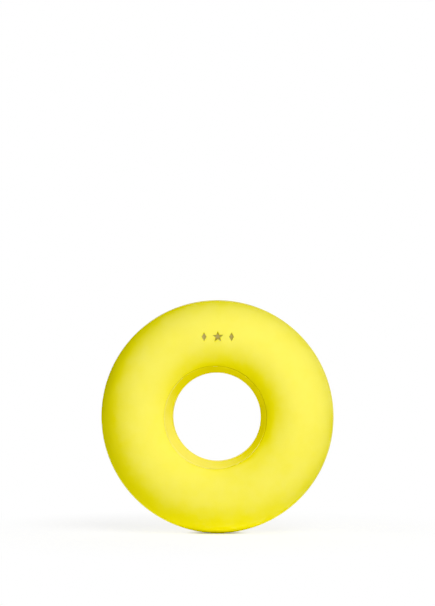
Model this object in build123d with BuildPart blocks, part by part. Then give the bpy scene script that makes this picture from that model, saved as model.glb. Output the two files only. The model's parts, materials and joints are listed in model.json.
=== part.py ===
"""A stout juggling ring with a round tube section, as the separate pieces it is assembled from.

Frame, in millimetres: the ring's axis lies along Y and its front looks along -Y, +Z is up as the ring stands
on its rim, and the origin is the ring's centre.

Build: each side is a stiff half shell with a soft grip skin moulded over it. The two sides close on a collar
that lines the bore, and a joint hoop keys the shells together inside the rim. The front skin carries a small
sunk ornament.
"""

import os
from math import cos, degrees, radians, sin, tan

from build123d import *

# Overall size.
outer_diameter = 120.0
tube_diameter = 37.3
tube_radius = tube_diameter / 2
ring_radius = outer_diameter / 2 - tube_radius  # from the ring's axis to the middle of the tube
bore_radius = ring_radius - tube_radius

# Walls. A section radius is measured from the middle of the tube.
skin_thickness = 1.8
shell_thickness = 2.2
clearance = 0.05  # between pieces that bear on each other
shell_radius = tube_radius - skin_thickness
cavity_radius = shell_radius - shell_thickness

# Places round the tube section, in degrees from the bore towards the front.
lip_angle = 33.5
skin_edge_angle = 36.6
shell_edge_angle = 46.0
hook_end_angle = 58.0
rim_angle = 180.0

# Edges that show.
skin_edge_fillet = 0.25
rim_edge_fillet = 0.3

# Bore collar. Its wall flares from a short land at mid-thickness to a lip just under the skins' surface.
bore_land_length = 2.0
flare_slope = 21.0  # in degrees from the ring's axis
collar_wall = 2.4
collar_gap = 0.2  # between the collar's lip and the skin's edge
lip_recess = 0.05  # the lip lies this far under the skin's surface
lip_edge_fillet = 0.2
lip_blend = 3.0  # rounds the slight corner between the flare and the lip
hook_thickness = 1.6
hook_root_angle = 36.0

# Rim joint, inside the outermost part of the shells.
rim_land_inner = ring_radius + shell_radius - 5.6
rim_land_outer = ring_radius + cavity_radius + 0.5
rim_land_depth = 5.6
hoop_radius = ring_radius + shell_radius - 3.1
hoop_thickness = 1.5
hoop_width = 6.0
hoop_chamfer = 0.3
hoop_end_gap = 0.2

# Gussets that keep each shell's section round.
gusset_count = 12
gusset_thickness = 1.6
gusset_depth = 3.4
gusset_root = 0.6  # how far a gusset runs into the shell's wall
gusset_start_angle = 68.0
gusset_end_angle = 150.0

# Ornament: a star between two lozenges, sunk into the crest of the front skin.
ornament_shift = 1.9  # to the right of the ring's top, seen from the front
ornament_depth = 0.55
star_radius = 2.8
star_waist = 1.2
lozenge_width = 2.4
lozenge_height = 4.4
lozenge_offset = 7.0


def section_point(radius, angle):
    """A point of the front half of the tube section, at a section radius and an angle from the bore."""
    turn = radians(angle)
    return (ring_radius - radius * cos(turn), -radius * sin(turn))


def section_arc(radius, start, end):
    """The arc of the front half of the tube section between two angles from the bore."""
    return CenterArc((ring_radius, 0), radius, 180 + start, end - start)


def section_band(outer, inner, start, end):
    """Draws the outline of a curved wall: the tube section between two radii and two angles."""
    section_arc(outer, start, end)
    Line(section_point(outer, end), section_point(inner, end))
    section_arc(inner, start, end)
    Line(section_point(inner, start), section_point(outer, start))


def corner(sketch, place):
    """The vertex of a sketch nearest to a place."""
    return sketch.vertices().sort_by_distance(place)[0]


def grip_skin():
    """The front grip skin without its ornament."""
    with BuildPart() as skin:
        with BuildSketch() as profile:
            with BuildLine():
                section_band(tube_radius, shell_radius, skin_edge_angle, rim_angle)
            make_face()
            fillet(corner(profile, section_point(tube_radius, skin_edge_angle)), radius=skin_edge_fillet)
            fillet(corner(profile, section_point(tube_radius, rim_angle)), radius=rim_edge_fillet)
        revolve(axis=Axis.Y)
    return skin.part


def half_shell():
    """The front shell: a curved wall, a land with half of the hoop's groove, and a ring of gussets."""
    land_width = rim_land_outer - rim_land_inner
    groove_width = hoop_thickness + 2 * clearance
    groove_depth = hoop_width / 2 + hoop_end_gap
    with BuildPart() as shell:
        with BuildSketch():
            with BuildLine():
                section_band(shell_radius - clearance, cavity_radius, shell_edge_angle, rim_angle)
            make_face()
            with Locations(((rim_land_inner + rim_land_outer) / 2, -rim_land_depth / 2)):
                Rectangle(land_width, rim_land_depth)
            with Locations((hoop_radius, -groove_depth / 2)):
                Rectangle(groove_width, groove_depth, mode=Mode.SUBTRACT)
        revolve(axis=Axis.Y)
        for gusset in range(gusset_count):
            with BuildSketch(Plane.XY.rotated((0, 360 * gusset / gusset_count, 0))):
                with BuildLine():
                    section_band(cavity_radius + gusset_root, cavity_radius - gusset_depth,
                                 gusset_start_angle, gusset_end_angle)
                make_face()
            extrude(amount=gusset_thickness / 2, both=True)
    return shell.part


def star_outline():
    """The corners of a five-pointed star with one point up."""
    corners = []
    for index in range(10):
        reach = star_waist if index % 2 else star_radius
        turn = radians(36 * index)
        corners.append((reach * sin(turn), reach * cos(turn)))
    return corners


plain_skin = grip_skin()
plain_shell = half_shell()

with BuildPart() as front_skin:
    add(plain_skin)
    with BuildSketch(Plane.XZ.offset(tube_radius - ornament_depth)):
        with Locations((ornament_shift, ring_radius)):
            Polygon(*star_outline(), align=None)
        for side in (-1, 1):
            with Locations((ornament_shift + side * lozenge_offset, ring_radius)):
                Polygon((lozenge_width / 2, 0), (0, lozenge_height / 2),
                        (-lozenge_width / 2, 0), (0, -lozenge_height / 2))
    extrude(amount=2 * ornament_depth, mode=Mode.SUBTRACT)

with BuildPart() as back_skin:
    mirror(plain_skin, about=Plane.XZ)

with BuildPart() as front_shell:
    add(plain_shell)

with BuildPart() as back_shell:
    mirror(plain_shell, about=Plane.XZ)

# The collar's lip shows beside each skin's edge. Its tongue reaches under the skin as far as the edge of the
# shell, and its hook runs on behind the shell, so that closing the shells holds it.
lip_radius = tube_radius - lip_recess
lip_edge_angle = skin_edge_angle - degrees(collar_gap / tube_radius)
tongue_end_angle = shell_edge_angle - degrees(collar_gap / shell_radius)
tongue_radius = shell_radius - clearance
hook_radius = cavity_radius - clearance
hook_inner_radius = hook_radius - hook_thickness
lip_start = section_point(lip_radius, lip_angle)
lip_edge = section_point(lip_radius, lip_edge_angle)
flare_depth = (lip_start[0] - bore_radius) / tan(radians(flare_slope))
knee = (bore_radius, lip_start[1] + flare_depth)
knee_fillet = (-knee[1] - bore_land_length / 2) / tan(radians(flare_slope / 2))
inner_knee = (bore_radius + collar_wall, knee[1] + collar_wall * tan(radians(flare_slope / 2)))
hook_root = section_point(hook_inner_radius, hook_root_angle)
hook_tip = section_point(hook_inner_radius, hook_end_angle)
tongue_end = section_point(tongue_radius, tongue_end_angle)
wall_foot = (inner_knee[0] + (inner_knee[1] - hook_root[1]) * tan(radians(flare_slope)), hook_root[1])

with BuildPart() as bore_collar:
    with BuildSketch() as collar_profile:
        with BuildLine():
            Polyline((bore_radius, 0), knee, lip_start)
            section_arc(lip_radius, lip_angle, lip_edge_angle)
            Line(lip_edge, section_point(tongue_radius, lip_edge_angle))
            section_arc(tongue_radius, lip_edge_angle, tongue_end_angle)
            Line(tongue_end, section_point(hook_radius, tongue_end_angle))
            section_arc(hook_radius, tongue_end_angle, hook_end_angle)
            Line(section_point(hook_radius, hook_end_angle), hook_tip)
            section_arc(hook_inner_radius, hook_root_angle, hook_end_angle)
            Polyline(hook_root, wall_foot, inner_knee, (inner_knee[0], 0), (bore_radius, 0))
        make_face()
        fillet(corner(collar_profile, knee), radius=knee_fillet)
        fillet(corner(collar_profile, lip_start), radius=lip_blend)
        fillet(corner(collar_profile, lip_edge), radius=lip_edge_fillet)
        mirror(about=Plane.XZ)
    revolve(axis=Axis.Y)

with BuildPart() as joint_hoop:
    with BuildSketch():
        with Locations((hoop_radius, 0)):
            hoop_section = Rectangle(hoop_thickness, hoop_width)
        chamfer(hoop_section.vertices(), length=hoop_chamfer)
    revolve(axis=Axis.Y)

front_skin.part.label = "front_skin"
back_skin.part.label = "back_skin"
front_shell.part.label = "front_shell"
back_shell.part.label = "back_shell"
bore_collar.part.label = "bore_collar"
joint_hoop.part.label = "joint_hoop"

os.makedirs("parts", exist_ok=True)
export_step(front_skin.part, "parts/front_skin.step")
export_step(back_skin.part, "parts/back_skin.step")
export_step(front_shell.part, "parts/front_shell.step")
export_step(back_shell.part, "parts/back_shell.step")
export_step(bore_collar.part, "parts/bore_collar.step")
export_step(joint_hoop.part, "parts/joint_hoop.step")
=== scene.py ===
"""The looks of a stout juggling ring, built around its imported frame.

Everything is in metres and in the part's own frame: the ring's axis lies along Y, its front looks along -Y
and +Z is up. The two grip skins and the bore's collar are modelled here as closed meshes swept round the
axis. The stiff halves and the joint hoop, which the skins close in, stay as they come from the frame.
"""

import json
import math

import bmesh
import bpy
import numpy as np
from mathutils import Matrix, Vector


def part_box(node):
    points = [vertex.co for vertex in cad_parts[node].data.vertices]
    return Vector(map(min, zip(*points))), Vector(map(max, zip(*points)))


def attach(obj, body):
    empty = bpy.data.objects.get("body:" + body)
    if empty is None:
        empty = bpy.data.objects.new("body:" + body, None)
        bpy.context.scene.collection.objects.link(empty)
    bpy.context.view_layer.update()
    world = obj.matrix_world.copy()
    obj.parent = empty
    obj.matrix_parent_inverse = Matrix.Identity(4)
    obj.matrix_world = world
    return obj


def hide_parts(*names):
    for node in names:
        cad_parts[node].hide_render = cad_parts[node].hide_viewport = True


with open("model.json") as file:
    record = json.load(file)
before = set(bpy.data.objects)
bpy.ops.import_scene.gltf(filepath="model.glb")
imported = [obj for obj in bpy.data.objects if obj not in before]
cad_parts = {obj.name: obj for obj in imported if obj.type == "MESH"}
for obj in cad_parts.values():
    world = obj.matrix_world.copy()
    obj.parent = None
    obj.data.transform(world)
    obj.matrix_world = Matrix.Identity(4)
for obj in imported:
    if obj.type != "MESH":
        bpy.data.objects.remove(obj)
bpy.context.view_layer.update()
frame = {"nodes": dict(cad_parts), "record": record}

MM = 0.001

# Main sizes, from the frame.
mounts = {mount["name"]: mount for mount in frame["record"]["mounts"]}
bore_radius = mounts["bore"]["dims"]["r_mm"] * MM
bore_land = mounts["bore"]["dims"]["length_mm"] * MM
tube_radius = -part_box("front_skin")[0].y
ring_radius = bore_radius + tube_radius
floor_height = -(ring_radius + tube_radius)

# Walls and edges, close to those of the frame's solids. A section radius is measured from the middle of the
# tube, and a section angle goes round the tube from the bore towards the front, in degrees.
skin_thickness = 1.8 * MM
seam_angle = 36.6
rim_angle = 180.0
skin_edge_rounding = 0.3 * MM
rim_edge_rounding = 0.35 * MM
flare_slope = 21.0
lip_angle = 33.5
lip_radius = tube_radius - 0.05 * MM
lip_blend = 0.35 * MM
lip_edge_rounding = 0.5 * MM
seam_gap = 0.2 * MM
tongue_angle = 45.0
hook_angle = 57.5
hook_root_angle = 36.0
tongue_radius = tube_radius - 1.9 * MM
hook_radius = tube_radius - 4.1 * MM
hook_inner_radius = tube_radius - 5.6 * MM
collar_wall = 2.4 * MM
gap_angle = seam_angle - math.degrees(seam_gap / tube_radius)  # where the collar's lip ends
lip_edge_reach = math.degrees(lip_edge_rounding / tube_radius)

# The collar sits a little off centre, so that the seam is widest at the upper right and narrowest opposite.
collar_seat = (-0.12 * MM, 0, -0.06 * MM)

# Ornament: a star between two lozenges, sunk into the front skin's crest.
ornament_shift = 1.9 * MM
ornament_depth = 0.5 * MM
ornament_wall = 0.22 * MM
star_radius = 2.8 * MM
star_waist = 1.2 * MM
lozenge_width = 2.4 * MM
lozenge_height = 4.4 * MM
lozenge_offset = 7.0 * MM

# How finely the meshes are divided: steps in degrees, round the ring and round the tube section.
fine_turn = 0.16
coarse_turn = 1.5
fine_section = 0.36
coarse_section = 2.0
growth = 0.16  # how much wider the steps grow with each degree away from the ornament
fine_height = 1.15 * star_radius  # the fine part reaches this far up and down from the ornament's middle
fine_width = lozenge_offset + 0.6 * lozenge_width  # and this far to each side
crease_angle = 40.0  # a corner sharper than this many degrees stays a hard edge

# Where the collar's look changes, by section angle: its painted seam shade and its glossy lip edge.
collar_seam_shade_marks = (gap_angle - 0.35 * lip_edge_reach, gap_angle)
collar_shine_marks = (34.3, 35.1)

# Darkening tones: painted shade in the seam, and a darker fill with painted shade in the sunk ornament.
recess_fill_and_shade = (0.44, 0.36, 0.10)
painted_seam_shade = (0.60, 0.50, 0.02)

# Features of every moulded surface: how large they are, and how much they change it.
waviness_size = 7 * MM
waviness_height = 0.012 * MM
mottle_size = 11 * MM
gloss_size = 3 * MM
gloss_change = 0.04
noise_range = (0.3, 0.7)  # where nearly all of a noise's values lie
light_depth = 1.2 * MM  # how far light travels inside the soft skin
light_colours = (1.0, 0.8, 0.12)

# Floor. Its glow lights the ring's underside, and is given as pairs of distance from the ring's foot and
# strength.
floor_reach = 40.0
floor_bounce = 0.85  # how white it is for light that bounces off it
floor_shown_glow = 0.25  # how strongly it glows for the camera
glow_narrowing = 0.3  # how much a distance along X counts towards the distance from the foot
floor_glow = ((0.5 * MM, 0.0), (6 * MM, 0.08), (10 * MM, 0.33), (13 * MM, 0.33), (18 * MM, 0.19))

# The camera sees the floor turn pure white away from the ring's foot: start, end and amount of each step.
whitening = ((6 * MM, 18 * MM, 0.78), (80 * MM, 160 * MM, 0.22))

# Lights: azimuth and elevation in degrees, and power in watts. Azimuth 0 is in front of the ring and 90 is on
# its right.
light_distance = 1.2
light_size = 0.8
lights = {
    "key_right": (30, 25, 6.6),
    "key_top": (30, 50, 6.6),
    "fill_left": (-60, 25, 2.3),
    "rim_right": (150, 3, 3.2),
    "rim_left": (-150, 25, 1.8),
    "rim_top": (180, 50, 1.5),
}

# Camera: level, and camera_azimuth degrees to the right of the ring's front.
camera_azimuth = 4.9
camera_distance = 1.3455
camera_rise = 0.05855
camera_aside = 0.17 * MM
camera_lens = 155.0
camera_sight = 200.0  # how far it sees

# Display curve for blue: pairs of level and level shown.
blue_curve = ((0.06, 0.001), (0.067, 0.005), (0.0705, 0.014), (0.0925, 0.098), (0.104, 0.125), (0.2, 0.2))


# ---- Shapes ------------------------------------------------------------------------------------------------

def section_point(radius, angle):
    """A point of the front half of the tube section, as distance from the ring's axis and y."""
    turn = math.radians(angle)
    return np.array([ring_radius - radius * math.cos(turn), -radius * math.sin(turn)])


def section_run(radius, angles):
    """The points at one section radius over a list of section angles."""
    return [section_point(radius, angle) for angle in angles]


def rounded(start, corner, end, steps=8):
    """A rounded corner from start to end, without its two ends."""
    shares = np.linspace(0, 1, steps + 1)[1:-1]
    return [(1 - t) ** 2 * start + 2 * t * (1 - t) * corner + t ** 2 * end for t in shares]


def straight(start, end, steps):
    """Evenly spaced points from start to end, without its two ends."""
    return [start + (end - start) * share for share in np.linspace(0, 1, steps + 1)[1:-1]]


def front_to_back(points):
    """The same points on the other side of the ring's middle plane."""
    return [point * np.array([1, -1]) for point in points]


def graded(start, end, low, high, fine, coarse):
    """Angles from start to end, close together between low and high and growing wider apart outside it."""
    angles = [start]
    while angles[-1] < end:
        here = angles[-1]
        away = max(low - here, here - high, 0)
        angles.append(here + min(coarse, fine + growth * away))
    stretch = (end - start) / (angles[-1] - start)
    return [start + (angle - start) * stretch for angle in angles]


def swept(name, profile, turns):
    """A closed mesh: a closed outline of (distance from the axis, y) swept round the ring's axis."""
    outline = np.array(profile)
    rows, columns = len(outline), len(turns)
    angle = np.radians(turns)
    points = np.empty((rows, columns, 3))
    points[..., 0] = outline[:, :1] * np.sin(angle)
    points[..., 1] = outline[:, 1:]
    points[..., 2] = outline[:, :1] * np.cos(angle)
    index = np.arange(rows * columns).reshape(rows, columns)
    beyond = np.roll(index, -1, axis=0)
    quads = np.stack([index, np.roll(index, -1, axis=1), np.roll(beyond, -1, axis=1), beyond], axis=-1)
    mesh = bpy.data.meshes.new(name)
    mesh.from_pydata(points.reshape(-1, 3).tolist(), [], quads.reshape(-1, 4).tolist())
    return mesh


def finished(mesh, name):
    """Turns a mesh's faces outwards, shades its curves smooth and returns it as an object in the scene."""
    shape = bmesh.new()
    shape.from_mesh(mesh)
    bmesh.ops.recalc_face_normals(shape, faces=shape.faces)
    for face in shape.faces:
        face.smooth = True
    shape.to_mesh(mesh)
    shape.free()
    mesh.set_sharp_from_angle(angle=math.radians(crease_angle))
    piece = bpy.data.objects.new(name, mesh)
    bpy.context.scene.collection.objects.link(piece)
    return piece


def coordinates(mesh):
    """The places of a mesh's vertices, one row each."""
    places = np.empty(len(mesh.vertices) * 3)
    mesh.vertices.foreach_get("co", places)
    return places.reshape(-1, 3)


def mark(mesh, attribute, share):
    """Keeps one value for each vertex, from 0 to 1, in an attribute for the material."""
    mesh.attributes.new(attribute, "FLOAT", "POINT").data.foreach_set("value", share.astype(np.float32))


def mark_angles(mesh, attribute, first_angle, last_angle):
    """Marks each vertex by its section angle, from 0 at one angle to 1 at another."""
    places = coordinates(mesh)
    across = np.hypot(places[:, 0], places[:, 2])
    angle = np.degrees(np.arctan2(abs(places[:, 1]), ring_radius - across))
    mark(mesh, attribute, np.clip((angle - first_angle) / (last_angle - first_angle), 0, 1))


# Ornament.

def star_outline():
    """The corners of a five-pointed star with one point up, round its own middle."""
    reaches = [star_waist if index % 2 else star_radius for index in range(10)]
    turns = [math.radians(36 * index) for index in range(10)]
    return [(reach * math.sin(turn), reach * math.cos(turn)) for reach, turn in zip(reaches, turns)]


def lozenge_outline():
    """The corners of an upright lozenge round its own middle."""
    side, top = lozenge_width / 2, lozenge_height / 2
    return [(side, 0), (0, top), (-side, 0), (0, -top)]


def distance_inside(points, outline):
    """How far each point lies inside a closed outline; negative outside it."""
    corners = np.array(outline)
    nearest = np.full(len(points), np.inf)
    inside = np.zeros(len(points), bool)
    for start, end in zip(corners, np.roll(corners, -1, axis=0)):
        edge = end - start
        share = np.clip(((points - start) @ edge) / (edge @ edge), 0, 1)
        nearest = np.minimum(nearest, np.linalg.norm(points - start - share[:, None] * edge, axis=1))
        straddles = (start[1] > points[:, 1]) != (end[1] > points[:, 1])
        rise = end[1] - start[1] or 1
        crossing = start[0] + (points[:, 1] - start[1]) * edge[0] / rise
        inside ^= straddles & (points[:, 0] < crossing)
    return np.where(inside, nearest, -nearest)


def ornament_share(places):
    """How much of the ornament's full depth each place on the crest has, from 0 to 1, with a soft wall."""
    flat = places[:, [0, 2]] - np.array([ornament_shift, ring_radius])
    deepest = distance_inside(flat, star_outline())
    for side in (-1, 1):
        shifted = flat - np.array([side * lozenge_offset, 0])
        deepest = np.maximum(deepest, distance_inside(shifted, lozenge_outline()))
    share = np.clip(deepest / ornament_wall + 0.5, 0, 1)
    return share * share * (3 - 2 * share)


def sink_ornament(mesh):
    """Presses the ornament into the front skin towards the tube's middle, and marks where it is sunk."""
    places = coordinates(mesh)
    across = np.hypot(places[:, 0], places[:, 2])
    outward = np.column_stack([places[:, 0], places[:, 2]]) / across[:, None]
    from_middle = np.column_stack([
        (across - ring_radius) * outward[:, 0], places[:, 1], (across - ring_radius) * outward[:, 1]])
    section_radius = np.linalg.norm(from_middle, axis=1)
    outer = section_radius > tube_radius - 0.1 * MM
    near_crest = (places[:, 1] < -0.9 * tube_radius) & (places[:, 2] > 0)
    window = outer & near_crest
    share = np.zeros(len(places))
    share[window] = ornament_share(places[window])
    places -= from_middle / section_radius[:, None] * (ornament_depth * share)[:, None]
    mesh.vertices.foreach_set("co", places.ravel())
    # The mark sets the ornament's darker fill and the painted shade of its recess.
    mark(mesh, "recess", share)
    mesh.update()


# Grip skins.

def ornament_rows(start, end):
    """Section angles that are close together across the ornament."""
    reach = math.degrees(fine_height / tube_radius)
    return graded(start, end, 90 - reach, 90 + reach, fine_section, coarse_section)


def plain_rows(start, end):
    """Evenly spaced section angles."""
    return np.linspace(start, end, round((end - start) / coarse_section) + 1).tolist()


def ornament_turns():
    """Angles once round the ring, close together across the ornament."""
    middle = math.degrees(ornament_shift / ring_radius)
    reach = math.degrees(fine_width / ring_radius)
    return graded(middle - 180, middle + 180, middle - reach, middle + reach, fine_turn, coarse_turn)[:-1]


def plain_turns():
    """Evenly spaced angles once round the ring."""
    return np.arange(0, 360, coarse_turn)


def skin_profile(crest_angles):
    """The front skin's closed outline: outside from the seam to the rim, then back along the inside."""
    seam_reach = math.degrees(skin_edge_rounding / tube_radius)
    rim_reach = math.degrees(rim_edge_rounding / tube_radius)
    seam_shoulder = section_point(tube_radius - skin_edge_rounding, seam_angle)
    rim_shoulder = section_point(tube_radius - rim_edge_rounding, rim_angle)
    outside = section_run(tube_radius, crest_angles(seam_angle + seam_reach, rim_angle - rim_reach))
    inside = section_run(tube_radius - skin_thickness, np.linspace(rim_angle, seam_angle, 37))
    rim_edge = rounded(outside[-1], section_point(tube_radius, rim_angle), rim_shoulder)
    rim_side = [rim_shoulder] + straight(rim_shoulder, inside[0], steps=3)
    seam_side = straight(inside[-1], seam_shoulder, steps=4) + [seam_shoulder]
    seam_edge = rounded(seam_shoulder, section_point(tube_radius, seam_angle), outside[0], steps=10)
    return outside + rim_edge + rim_side + inside + seam_side + seam_edge


def mark_skin_seam_shade(mesh):
    """Marks the skin's rounded edge at the seam, where painted shade darkens its tone."""
    mark_angles(mesh, "seam", seam_angle + math.degrees(skin_edge_rounding / tube_radius), seam_angle)


def build_front_skin():
    """The front grip skin with its ornament."""
    mesh = swept("front_grip_skin", skin_profile(ornament_rows), ornament_turns())
    sink_ornament(mesh)
    mark_skin_seam_shade(mesh)
    return finished(mesh, "front_grip_skin")


def build_back_skin():
    """The back grip skin, which is plain."""
    mesh = swept("back_grip_skin", front_to_back(skin_profile(plain_rows)), plain_turns())
    mark_skin_seam_shade(mesh)
    return finished(mesh, "back_grip_skin")


# Bore collar.

def collar_outside(slope, lip_corner, knee):
    """The front half of what shows of the collar: the bore's land, a round knee, the flare and the lip."""
    land_end = np.array([bore_radius, -bore_land / 2])
    knee_curve = (land_end[1] - knee[1]) / math.tan(slope / 2)
    curve_middle = land_end + np.array([knee_curve, 0])
    flare_end = lip_corner - lip_blend * np.array([math.sin(slope), -math.cos(slope)])
    blend_reach = math.degrees(lip_blend / tube_radius)
    lip = section_run(lip_radius, np.linspace(lip_angle + blend_reach, gap_angle - lip_edge_reach, 6))
    lip_side = section_point(lip_radius - lip_edge_rounding, gap_angle)

    half = straight(np.array([bore_radius, 0]), land_end, steps=3)
    for turn in np.linspace(0, slope, 13):
        half.append(curve_middle - knee_curve * np.array([math.cos(turn), math.sin(turn)]))
    half += straight(half[-1], flare_end, steps=14) + [flare_end]
    half += rounded(flare_end, lip_corner, lip[0], steps=6) + lip
    half += rounded(lip[-1], section_point(lip_radius, gap_angle), lip_side) + [lip_side]
    return half


def collar_inside(slope, knee):
    """The front half of what the skin and the shell hide: the tongue, the hook and the inner wall."""
    inner_knee = np.array([bore_radius + collar_wall, knee[1] + collar_wall * math.tan(slope / 2)])
    hook_root = section_point(hook_inner_radius, hook_root_angle)
    wall_foot = np.array([inner_knee[0] + (inner_knee[1] - hook_root[1]) * math.tan(slope), hook_root[1]])
    half = section_run(tongue_radius, np.linspace(gap_angle, tongue_angle, 5))
    half += section_run(hook_radius, np.linspace(tongue_angle, hook_angle, 6))
    half += section_run(hook_inner_radius, np.linspace(hook_angle, hook_root_angle, 8))
    half += straight(hook_root, wall_foot, steps=3) + [wall_foot]
    half += straight(wall_foot, inner_knee, steps=4) + [inner_knee]
    return half


def collar_profile():
    """The collar's closed outline, from the bore's middle along the front half and back along the other."""
    slope = math.radians(flare_slope)
    lip_corner = section_point(lip_radius, lip_angle)
    knee = np.array([bore_radius, lip_corner[1] + (lip_corner[0] - bore_radius) / math.tan(slope)])
    half = collar_outside(slope, lip_corner, knee) + collar_inside(slope, knee)
    outer_middle = np.array([bore_radius, 0])
    inner_middle = np.array([bore_radius + collar_wall, 0])
    return [outer_middle] + half + [inner_middle] + front_to_back(half[::-1])


def build_collar():
    """The bore's lining with its two lips, marked for painted seam shade and lip gloss, and set in its seat.
    """
    mesh = swept("bore_lining", collar_profile(), plain_turns())
    # Painted shade deep in the seam.
    mark_angles(mesh, "seam", *collar_seam_shade_marks)
    mark_angles(mesh, "lip", *collar_shine_marks)
    mesh.transform(Matrix.Translation(collar_seat))
    return finished(mesh, "bore_lining")


# ---- Materials ---------------------------------------------------------------------------------------------

def feed(tree, value, socket):
    """Gives a socket a plain value, or links another socket to it."""
    if isinstance(value, bpy.types.NodeSocket):
        tree.links.new(value, socket)
    else:
        socket.default_value = value


def calculated(tree, operation, first, second):
    """A sum, product or the like of two values, each a number or a socket."""
    node = tree.nodes.new("ShaderNodeMath")
    node.operation = operation
    feed(tree, first, node.inputs[0])
    feed(tree, second, node.inputs[1])
    return node.outputs["Value"]


def mapped(tree, value, span, low, high, curve="LINEAR"):
    """Goes from low to high as a value crosses its span, and stays level outside it."""
    node = tree.nodes.new("ShaderNodeMapRange")
    node.interpolation_type = curve
    node.inputs["From Min"].default_value, node.inputs["From Max"].default_value = span
    feed(tree, low, node.inputs["To Min"])
    feed(tree, high, node.inputs["To Max"])
    tree.links.new(value, node.inputs["Value"])
    return node.outputs["Result"]


def noise(tree, size, detail, place):
    """A noise texture with features of about one size."""
    texture = tree.nodes.new("ShaderNodeTexNoise")
    texture.inputs["Scale"].default_value = 1 / size
    texture.inputs["Detail"].default_value = detail
    tree.links.new(place, texture.inputs["Vector"])
    return texture.outputs["Fac"]


def mixed_colour(tree, share, first, second):
    """Mixes two colours, each a colour or a socket, by a share."""
    mix = tree.nodes.new("ShaderNodeMix")
    mix.data_type = "RGBA"
    tree.links.new(share, mix.inputs["Factor"])
    first_input, second_input = mix.inputs[6], mix.inputs[7]
    for socket, colour in ((first_input, first), (second_input, second)):
        feed(tree, (*colour, 1) if isinstance(colour, tuple) else colour, socket)
    return mix.outputs[2]


def bumped(tree, height, distance, normal=None):
    """A bump of a height texture, on top of another bump if there is one."""
    bump = tree.nodes.new("ShaderNodeBump")
    bump.inputs["Strength"].default_value = 1.0
    bump.inputs["Distance"].default_value = distance
    tree.links.new(height, bump.inputs["Height"])
    if normal is not None:
        tree.links.new(normal, bump.inputs["Normal"])
    return bump.outputs["Normal"]


def moulded(name, colour, shade, roughness, grain_size, grain_height, specular):
    """A moulded surface: slow colour mottling, fine grain, faint flow waviness and uneven gloss."""
    material = bpy.data.materials.new(name)
    material.use_nodes = True
    tree = material.node_tree
    surface = tree.nodes["Principled BSDF"]
    place = tree.nodes.new("ShaderNodeTexCoord").outputs["Object"]
    grain = noise(tree, grain_size, 2.0, place)
    waviness = noise(tree, waviness_size, 1.0, place)
    mottle = mapped(tree, noise(tree, mottle_size, 4.0, place), noise_range, 0.0, 1.0)
    gloss = mapped(tree, noise(tree, gloss_size, 5.0, place), noise_range,
                   roughness - gloss_change, roughness + gloss_change)
    wavy = bumped(tree, waviness, waviness_height)
    tree.links.new(mixed_colour(tree, mottle, colour, shade), surface.inputs["Base Color"])
    tree.links.new(gloss, surface.inputs["Roughness"])
    tree.links.new(bumped(tree, grain, grain_height, wavy), surface.inputs["Normal"])
    surface.inputs["Specular IOR Level"].default_value = specular
    return material


def marked(tree, attribute):
    """The value that a mesh attribute keeps."""
    node = tree.nodes.new("ShaderNodeAttribute")
    node.attribute_name = attribute
    return node.outputs["Fac"]


def add_tone(material, attribute, tone):
    """Darkens the colour by a mesh attribute: painted seam shade, or the sunk ornament's fill and painted
    shade.
    """
    tree = material.node_tree
    base = tree.nodes["Principled BSDF"].inputs["Base Color"]
    plain = base.links[0].from_socket
    tree.links.new(mixed_colour(tree, marked(tree, attribute), plain, tone), base)


def add_shine(material, attribute, specular):
    """Makes the surface reflect where a mesh attribute says so."""
    tree = material.node_tree
    shine = calculated(tree, "MULTIPLY", marked(tree, attribute), specular)
    tree.links.new(shine, tree.nodes["Principled BSDF"].inputs["Specular IOR Level"])


def grip_skin_material():
    """Soft rubber with a dull satin surface that lets a little light in."""
    material = moulded("grip_skin", colour=(0.94, 0.855, 0.10), shade=(0.93, 0.84, 0.09), roughness=0.5,
                       grain_size=0.22 * MM, grain_height=0.004 * MM, specular=0.0)
    surface = material.node_tree.nodes["Principled BSDF"]
    surface.inputs["Subsurface Weight"].default_value = 0.05
    surface.inputs["Subsurface Radius"].default_value = light_colours
    surface.inputs["Subsurface Scale"].default_value = light_depth
    # A darker fill in the sunk ornament, with painted shade of its recess.
    add_tone(material, "recess", recess_fill_and_shade)
    # Painted shade deep in the seam.
    add_tone(material, "seam", painted_seam_shade)
    return material


def collar_material():
    """Stiff plastic, a little oranger than the skin, with a glossy edge along its lips and painted seam
    shade.
    """
    material = moulded("collar", colour=(0.92, 0.825, 0.115), shade=(0.91, 0.81, 0.105), roughness=0.25,
                       grain_size=0.3 * MM, grain_height=0.002 * MM, specular=0.0)
    # Painted shade deep in the seam.
    add_tone(material, "seam", painted_seam_shade)
    add_shine(material, "lip", specular=0.5)
    return material


def stiff_half_material():
    """Plain yellow moulding, closed in by the skins."""
    return moulded("stiff_half", colour=(0.78, 0.72, 0.10), shade=(0.74, 0.68, 0.09), roughness=0.5,
                   grain_size=0.4 * MM, grain_height=0.004 * MM, specular=0.5)


def hoop_material():
    """Uncoloured moulding, closed in by the stiff halves."""
    return moulded("hoop", colour=(0.80, 0.80, 0.74), shade=(0.76, 0.76, 0.70), roughness=0.55,
                   grain_size=0.4 * MM, grain_height=0.004 * MM, specular=0.5)


def dress(piece, material):
    """Gives a piece one material."""
    piece.data.materials.clear()
    piece.data.materials.append(material)


# ---- Stage -------------------------------------------------------------------------------------------------

def distance_from_foot(tree, place, weights):
    """The distance from the point under the ring's centre, with each direction counted by its weight."""
    weighted = tree.nodes.new("ShaderNodeVectorMath")
    weighted.operation = "MULTIPLY"
    weighted.inputs[1].default_value = weights
    tree.links.new(place, weighted.inputs[0])
    length = tree.nodes.new("ShaderNodeVectorMath")
    length.operation = "LENGTH"
    tree.links.new(weighted.outputs["Vector"], length.inputs[0])
    return length.outputs["Value"]


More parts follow.
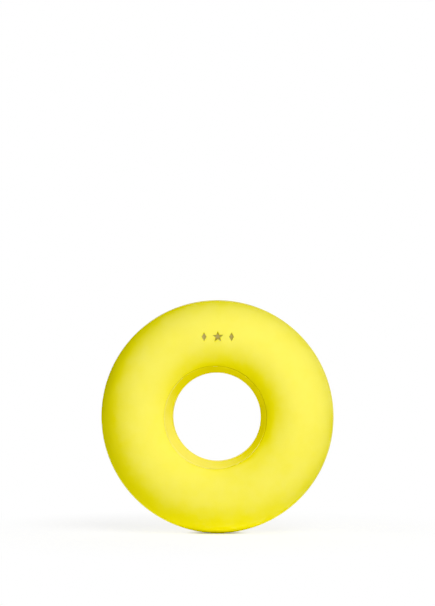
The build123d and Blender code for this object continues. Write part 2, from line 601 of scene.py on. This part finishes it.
def glow_strength(tree, place):
    """How strongly the floor glows for the ring's underside."""
    reach = floor_glow[-1][0]
    distance = distance_from_foot(tree, place, (glow_narrowing, 1, 0))
    ramp = tree.nodes.new("ShaderNodeValToRGB")
    stops = ramp.color_ramp.elements
    stops[0].position = floor_glow[0][0] / reach
    for middle_distance, _ in floor_glow[1:-1]:
        stops.new(middle_distance / reach)
    for stop, (_, strength) in zip(stops, floor_glow):
        stop.color = (strength, strength, strength, 1)
    tree.links.new(calculated(tree, "DIVIDE", distance, reach), ramp.inputs["Fac"])
    return ramp.outputs["Color"]


def white_share(tree, place):
    """How far the floor has turned pure white for the camera."""
    distance = distance_from_foot(tree, place, (1, 1, 0))
    near, far = [
        mapped(tree, distance, (start, end), 0.0, amount, "SMOOTHSTEP") for start, end, amount in whitening]
    return calculated(tree, "ADD", near, far)


def floor_material():
    """White, with a faint glow, and pure white for the camera away from the ring's foot."""
    material = bpy.data.materials.new("white_floor")
    material.use_nodes = True
    tree = material.node_tree
    surface = tree.nodes["Principled BSDF"]
    surface.inputs["Roughness"].default_value = 1.0
    surface.inputs["Specular IOR Level"].default_value = 0.0
    surface.inputs["Emission Color"].default_value = (1, 1, 1, 1)
    place = tree.nodes.new("ShaderNodeTexCoord").outputs["Object"]
    seen = tree.nodes.new("ShaderNodeLightPath").outputs["Is Camera Ray"]
    colour = mapped(tree, seen, (0, 1), floor_bounce, 1.0)
    glow = mapped(tree, seen, (0, 1), glow_strength(tree, place), floor_shown_glow)
    tree.links.new(colour, surface.inputs["Base Color"])
    tree.links.new(glow, surface.inputs["Emission Strength"])
    white = tree.nodes.new("ShaderNodeEmission")
    blend = tree.nodes.new("ShaderNodeMixShader")
    tree.links.new(calculated(tree, "MULTIPLY", white_share(tree, place), seen), blend.inputs["Fac"])
    tree.links.new(surface.outputs["BSDF"], blend.inputs[1])
    tree.links.new(white.outputs["Emission"], blend.inputs[2])
    tree.links.new(blend.outputs["Shader"], tree.nodes["Material Output"].inputs["Surface"])
    return material


def build_floor():
    """A plain floor under the ring, wide enough to reach the horizon."""
    mesh = bpy.data.meshes.new("floor")
    corners = [(-1, -1), (1, -1), (1, 1), (-1, 1)]
    places = [(x * floor_reach, y * floor_reach, floor_height) for x, y in corners]
    mesh.from_pydata(places, [], [(0, 1, 2, 3)])
    floor = bpy.data.objects.new("floor", mesh)
    bpy.context.scene.collection.objects.link(floor)
    dress(floor, floor_material())


def build_world():
    """White for the camera, and dark for everything else."""
    world = bpy.data.worlds.new("studio")
    bpy.context.scene.world = world
    world.use_nodes = True
    tree = world.node_tree
    background = tree.nodes["Background"]
    background.inputs["Color"].default_value = (1, 1, 1, 1)
    seen = tree.nodes.new("ShaderNodeLightPath").outputs["Is Camera Ray"]
    tree.links.new(seen, background.inputs["Strength"])


def build_camera():
    """A level camera about as high as the ring's top and a little to its right."""
    turn = math.radians(camera_azimuth)
    camera = bpy.data.cameras.new("camera")
    camera.lens = camera_lens
    camera.clip_end = camera_sight
    holder = bpy.data.objects.new("camera", camera)
    holder.location = (
        camera_distance * math.sin(turn) + camera_aside * math.cos(turn),
        -camera_distance * math.cos(turn) + camera_aside * math.sin(turn),
        camera_rise)
    holder.rotation_euler = (math.radians(90), 0, turn)
    bpy.context.scene.collection.objects.link(holder)
    bpy.context.scene.camera = holder


def build_light(name, azimuth, elevation, power):
    """A square soft light aimed at the ring."""
    light = bpy.data.lights.new(name, "AREA")
    light.size = light_size
    light.energy = power
    turn, rise = math.radians(azimuth), math.radians(elevation)
    away = Vector((math.sin(turn) * math.cos(rise), -math.cos(turn) * math.cos(rise), math.sin(rise)))
    lamp = bpy.data.objects.new(name, light)
    lamp.location = away * light_distance
    lamp.rotation_mode = "QUATERNION"
    lamp.rotation_quaternion = away.to_track_quat("Z", "Y")
    bpy.context.scene.collection.objects.link(lamp)


def grade():
    """Plain display colours, with the blue of dim yellows drawn down as in a strongly saturated picture."""
    view = bpy.context.scene.view_settings
    view.view_transform = "Standard"
    view.use_curve_mapping = True
    blue = view.curve_mapping.curves[2]
    for level, shown in blue_curve:
        blue.points.new(level, shown)
    for point in blue.points:
        point.handle_type = "VECTOR"
    view.curve_mapping.update()


# ---- The ring ----------------------------------------------------------------------------------------------

skin_look = grip_skin_material()
half_look = stiff_half_material()
for piece, node, slot, look in (
    (build_front_skin(), "front_skin", "grip_skin", skin_look),
    (build_back_skin(), "back_skin", "grip_skin", skin_look),
    (build_collar(), "bore_collar", "collar", collar_material()),
):
    dress(piece, look)
    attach(piece, "root")
    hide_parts(node)
for node, look in (("front_shell", half_look), ("back_shell", half_look), ("joint_hoop", hoop_material())):
    dress(frame["nodes"][node], look)

build_floor()
build_world()
build_camera()
for name, (azimuth, elevation, power) in lights.items():
    build_light(name, azimuth, elevation, power)
grade()
